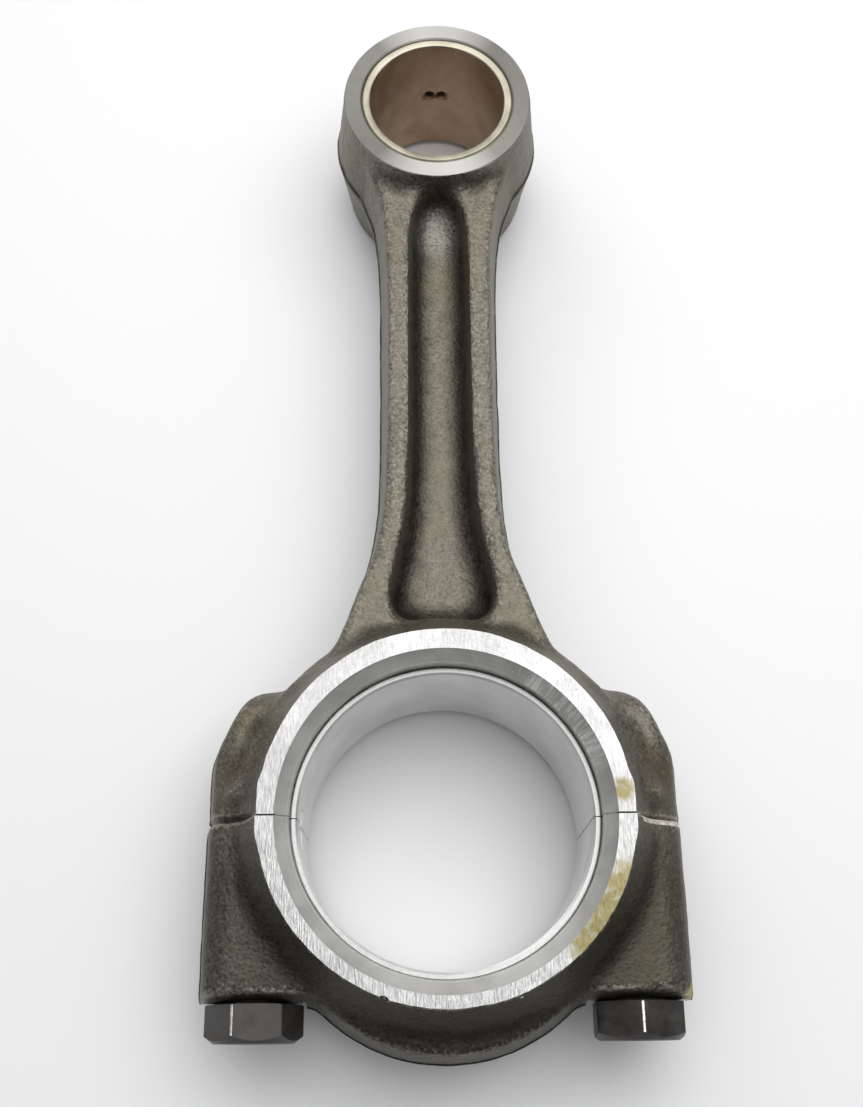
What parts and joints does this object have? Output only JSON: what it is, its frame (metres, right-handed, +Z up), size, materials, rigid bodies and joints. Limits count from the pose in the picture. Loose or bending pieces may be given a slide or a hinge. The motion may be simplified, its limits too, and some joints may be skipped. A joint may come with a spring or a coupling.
{
  "type": "connecting rod",
  "caption": "Forged I-beam engine connecting rod with bolted bearing cap, split bearing shells and a bronze small-end bush.",
  "frame": {"origin": "under the middle of the rod's length and width, on the surface it lies on", "axes": "+X across the cap bolts, +Y from the crankpin end to the piston-pin end, +Z up along both bores"},
  "size_m": [0.1084, 0.2706, 0.0436],
  "materials": {
    "forged_steel": "dark shot-blasted forging, olive-grey, with bright machined faces",
    "bearing_metal": "satin light grey bearing lining on steel backing",
    "bush_bronze": "bored bronze, pinkish brown inside, pale at the ends",
    "blackened_steel": "black phosphate with worn bright edges",
    "pin_steel": "ground bright steel"
  },
  "bodies": {
    "rod": {"rod_body": "forged_steel", "upper_bearing_shell": "bearing_metal", "small_end_bush": "bush_bronze"},
    "cap": {"bearing_cap": "forged_steel", "lower_bearing_shell": "bearing_metal", "dowel_left": "pin_steel", "dowel_right": "pin_steel"},
    "bolt_left": {"cap_bolt_left": "blackened_steel"},
    "bolt_right": {"cap_bolt_right": "blackened_steel"}
  },
  "joints": [
    {"name": "cap_lift_off", "type": "slide", "parent": "rod", "child": "cap", "axis": [0, -1, 0], "range_m": [0, 0.04]},
    {"name": "bolt_left_withdraw", "type": "slide", "parent": "cap", "child": "bolt_left", "axis": [0, -1, 0], "range_m": [0, 0.062]},
    {"name": "bolt_right_withdraw", "type": "slide", "parent": "cap", "child": "bolt_right", "axis": [0, -1, 0], "range_m": [0, 0.062]}
  ]
}
